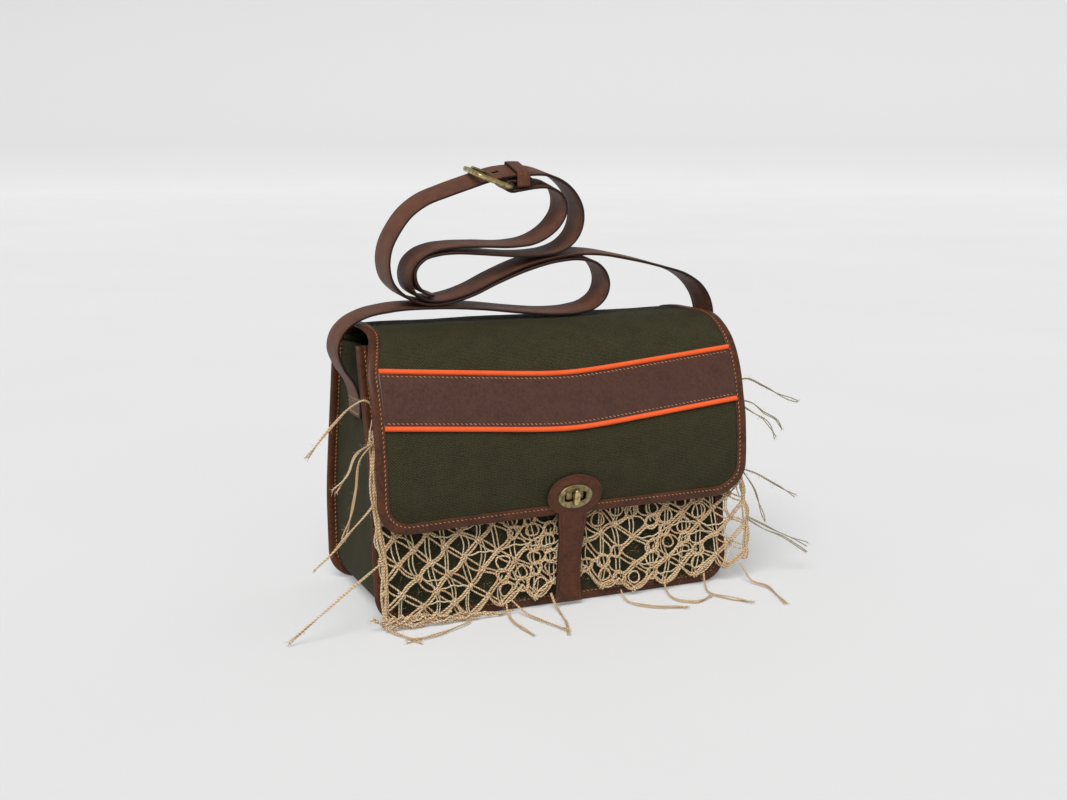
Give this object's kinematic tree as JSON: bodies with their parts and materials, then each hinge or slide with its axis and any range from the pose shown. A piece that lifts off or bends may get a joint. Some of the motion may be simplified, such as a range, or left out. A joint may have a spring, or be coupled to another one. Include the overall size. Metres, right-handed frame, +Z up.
{
  "type": "hunting game bag",
  "caption": "Cloth hunting game bag with leather edging, curved flap with a turn lock, knotted twine net over the front and a leather shoulder strap with a buckle.",
  "frame": {"origin": "middle of the flat base, on the surface the bag stands on", "axes": "+Z up, -Y out of the front, +X along the width, to the right seen from the front"},
  "size_m": [0.5585, 0.2637, 0.4306],
  "materials": {
    "olive_cloth": "matte weave",
    "edging_leather": "satin",
    "band_leather": "satin",
    "strap_leather": "satin",
    "orange_piping": "matte",
    "jute_twine": "matte, fibrous",
    "aged_brass": "aged satin"
  },
  "bodies": {
    "bag": {"back_binding": "edging_leather", "back_panel": "olive_cloth", "buckle_frame": "aged_brass", "buckle_prong": "aged_brass", "closure_strap": "band_leather", "eyelet_plate": "aged_brass", "flap": "olive_cloth", "flap_band": "band_leather", "flap_binding": "edging_leather", "front_binding": "edging_leather", "front_panel": "olive_cloth", "gusset": "olive_cloth", "keeper": "strap_leather", "net": "jute_twine", "piping_lower": "orange_piping", "piping_upper": "orange_piping", "strap_long": "strap_leather", "strap_short": "strap_leather", "turn_base": "aged_brass"},
    "turn_button": {"turn_button": "aged_brass"}
  },
  "joints": [
    {"name": "turn", "type": "hinge", "parent": "bag", "child": "turn_button", "pos_m": [0.003, -0.10114, 0.11629], "axis": [0, -0.9799, -0.1993], "range_deg": [0, 90]}
  ]
}
